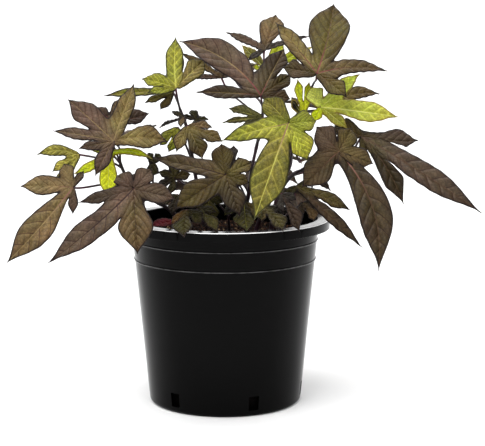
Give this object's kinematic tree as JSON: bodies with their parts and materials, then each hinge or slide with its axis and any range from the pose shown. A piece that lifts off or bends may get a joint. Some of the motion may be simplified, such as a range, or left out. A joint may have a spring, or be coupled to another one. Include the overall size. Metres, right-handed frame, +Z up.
{
  "type": "sweet potato vine in a nursery pot",
  "caption": "Trailing vine with deeply lobed bronze, olive and lime leaves on slender stems, rooted in soil in a round tapered nursery pot that stands on its base.",
  "frame": {"origin": "middle of the pot's foot, on the surface it stands on", "axes": "+Z up, +X to the right along the longest spread of the leaves, +Y to the back"},
  "size_m": [0.3541, 0.2377, 0.3123],
  "materials": {
    "pot_plastic": "gloss",
    "potting_soil": "matte",
    "vine_stem": "satin",
    "leaf_bronze": "satin",
    "leaf_olive": "satin",
    "leaf_lime": "satin",
    "leaf_fallen": "matte"
  },
  "bodies": {
    "root": {"pot": "pot_plastic", "soil": "potting_soil", "vine_right": "vine_stem", "vine_middle": "vine_stem", "vine_low_right": "vine_stem", "vine_left": "vine_stem", "vine_left_back": "vine_stem", "vine_back_left": "vine_stem", "vine_back_right": "vine_stem", "leaf_crown_right": "leaf_bronze", "leaf_crown_left": "leaf_bronze", "leaf_crown_back": "leaf_bronze", "leaf_lime_back": "leaf_lime", "leaf_lime_right": "leaf_lime", "leaf_lime_shoot": "leaf_lime", "leaf_right_back": "leaf_bronze", "leaf_olive_front": "leaf_olive", "leaf_right_front": "leaf_bronze", "leaf_right_long": "leaf_bronze", "leaf_left_upper": "leaf_bronze", "leaf_left_back": "leaf_bronze", "leaf_lime_top": "leaf_olive", "leaf_left_top_back": "leaf_bronze", "leaf_lime_left": "leaf_lime", "leaf_left_small": "leaf_olive", "leaf_left_low": "leaf_bronze", "leaf_left_front": "leaf_bronze", "leaf_centre_low": "leaf_bronze", "leaf_purple_back": "leaf_bronze", "leaf_middle_green": "leaf_olive", "leaf_middle_edge": "leaf_bronze", "leaf_middle_spiky": "leaf_bronze", "leaf_middle_bronze": "leaf_bronze", "leaf_middle_lime": "leaf_olive", "leaf_low_dark": "leaf_bronze", "leaf_low_left": "leaf_bronze", "leaf_middle_grey": "leaf_bronze", "leaf_left_dark": "leaf_bronze", "leaf_right_small": "leaf_bronze", "leaf_low_right": "leaf_bronze", "leaf_rear_middle": "leaf_bronze", "leaf_rear_right": "leaf_bronze", "leaf_rear_left": "leaf_bronze", "leaf_rear_low": "leaf_bronze", "leaf_rear_low_right": "leaf_bronze", "leaf_rear_crown": "leaf_bronze", "leaf_rear_left_high": "leaf_bronze", "leaf_rear_right_high": "leaf_bronze", "shoot_left": "leaf_bronze", "shoot_middle": "leaf_olive", "shoot_right": "leaf_bronze", "leaf_fallen": "leaf_fallen"}
  },
  "joints": []
}
